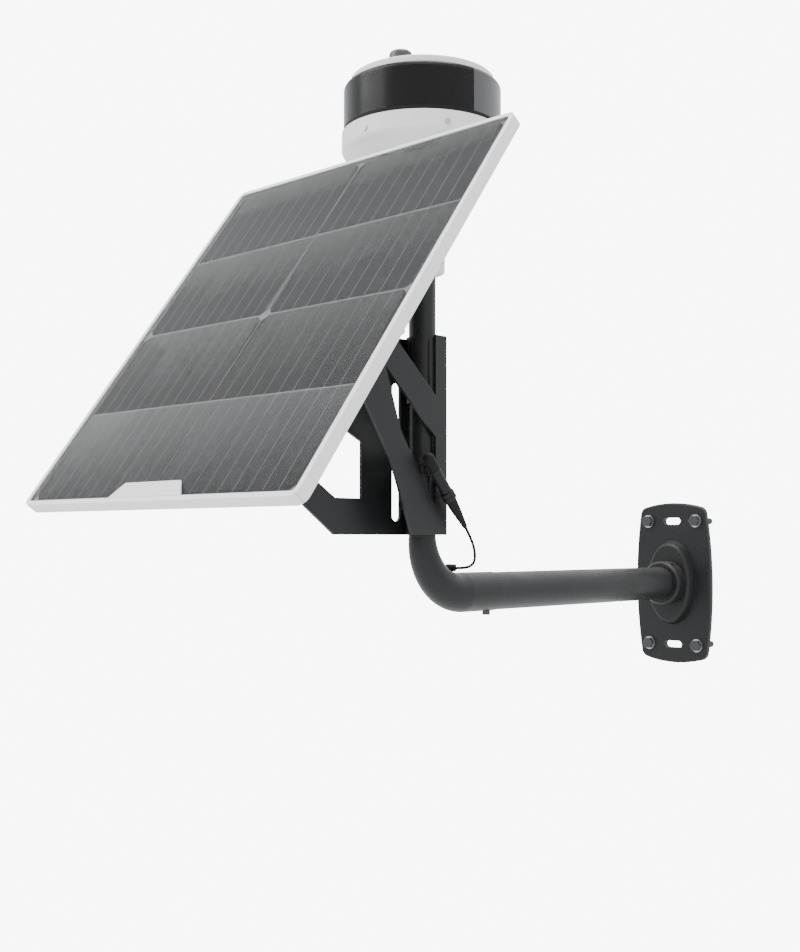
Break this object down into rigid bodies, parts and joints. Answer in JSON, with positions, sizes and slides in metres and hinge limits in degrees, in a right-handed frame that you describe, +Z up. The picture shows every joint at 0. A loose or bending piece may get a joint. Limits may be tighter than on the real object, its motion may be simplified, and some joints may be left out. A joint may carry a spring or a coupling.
{
  "type": "solar-powered security camera",
  "caption": "Round camera head on a wall-arm pole, with a tilting solar panel on a welded pole bracket.",
  "frame": {"origin": "centre of the wall plate's four-bolt pattern, on the wall face", "axes": "+Y into the wall, the arm runs along -Y, +Z up"},
  "size_m": [0.392, 0.8841, 0.6625],
  "materials": {
    "black_coat": "satin black powder coat",
    "dark_steel": "blackened steel",
    "zinc_steel": "zinc plated steel",
    "black_rubber": "matt rubber",
    "black_plastic": "fine grained plastic",
    "white_aluminium": "white satin coat on aluminium",
    "clear_glass": "clear low-iron glass",
    "dark_cells": "dark silicon under film",
    "white_sheet": "matt film",
    "white_plastic": "satin weatherproof plastic",
    "raw_aluminium": "anodised",
    "smoked_window": "glossy smoked polycarbonate",
    "grey_plastic": "glossy grey plastic",
    "cell_wrap": "shrink wrap",
    "green_board": "solder mask"
  },
  "bodies": {
    "wall_mount": {"wall_plate": "black_coat", "wall_washers": "zinc_steel", "wall_bolts": "dark_steel", "arm_collar": "black_coat", "collar_set_screws": "dark_steel", "arm_tube": "black_coat"},
    "mast": {"elbow": "black_coat", "elbow_clamp_screw": "dark_steel", "pole": "black_coat", "pole_gland": "black_rubber", "lead_socket": "black_plastic", "lead_ring": "black_plastic", "lead_plug": "black_rubber", "lead": "black_rubber", "lead_hood": "black_rubber"},
    "bracket": {"lower_sleeve": "black_coat", "upper_sleeve": "black_coat", "sleeve_clamp_screws": "dark_steel", "sleeve_nuts": "zinc_steel", "near_gusset": "black_coat", "hook_gusset": "black_coat", "hinge_spacer": "dark_steel", "tilt_bolt": "zinc_steel", "tilt_nut": "zinc_steel", "lock_bolt": "zinc_steel", "lock_knob": "black_plastic"},
    "panel": {"panel_frame": "white_aluminium", "panel_glass": "clear_glass", "solar_cells": "dark_cells", "panel_backsheet": "white_sheet", "panel_badge": "white_plastic", "upper_rail": "raw_aluminium", "lower_rail": "raw_aluminium", "rail_screws": "zinc_steel", "panel_bracket": "black_coat", "web_screws": "zinc_steel", "tilt_quadrant": "black_coat", "junction_box": "black_plastic", "junction_lid": "black_plastic", "junction_gland": "black_plastic"},
    "head": {"neck_clamp": "white_plastic", "neck_screws": "zinc_steel", "lower_housing": "white_plastic", "chassis": "black_plastic", "housing_screws": "zinc_steel", "seal_ring": "black_rubber", "window_band": "smoked_window", "rear_band": "grey_plastic", "top_cap": "white_plastic", "radio_dome": "grey_plastic", "battery_cells": "cell_wrap", "main_board": "green_board", "infrared_ring": "green_board", "pan_motor": "zinc_steel"},
    "yoke": {"camera_yoke": "black_plastic"},
    "camera": {"camera_body": "black_plastic", "image_sensor": "dark_cells", "lens_barrel": "black_plastic", "lens_glass": "clear_glass"}
  },
  "joints": [
    {"name": "arm_roll", "type": "hinge", "parent": "wall_mount", "child": "mast", "pos_m": [0, -0.39, 0], "axis": [0, 1, 0], "range_deg": [-20, 20]},
    {"name": "bracket_swivel", "type": "hinge", "parent": "mast", "child": "bracket", "pos_m": [0, -0.503, 0.16], "axis": [0, 0, 1], "range_deg": [-10, 10]},
    {"name": "panel_tilt", "type": "hinge", "parent": "bracket", "child": "panel", "pos_m": [0, -0.68824, 0.24302], "axis": [-1, 0, 0], "range_deg": [-8, 8]},
    {"name": "head_swivel", "type": "hinge", "parent": "mast", "child": "head", "pos_m": [0, -0.503, 0.36], "axis": [0, 0, 1], "range_deg": [-180, 180]},
    {"name": "camera_pan", "type": "hinge", "parent": "head", "child": "yoke", "pos_m": [0, -0.503, 0.495], "axis": [0, 0, 1], "range_deg": [-140, 10]},
    {"name": "camera_tilt", "type": "hinge", "parent": "yoke", "child": "camera", "pos_m": [0, -0.503, 0.51], "axis": [0.4226, 0.9063, 0], "range_deg": [-8, 8]}
  ]
}
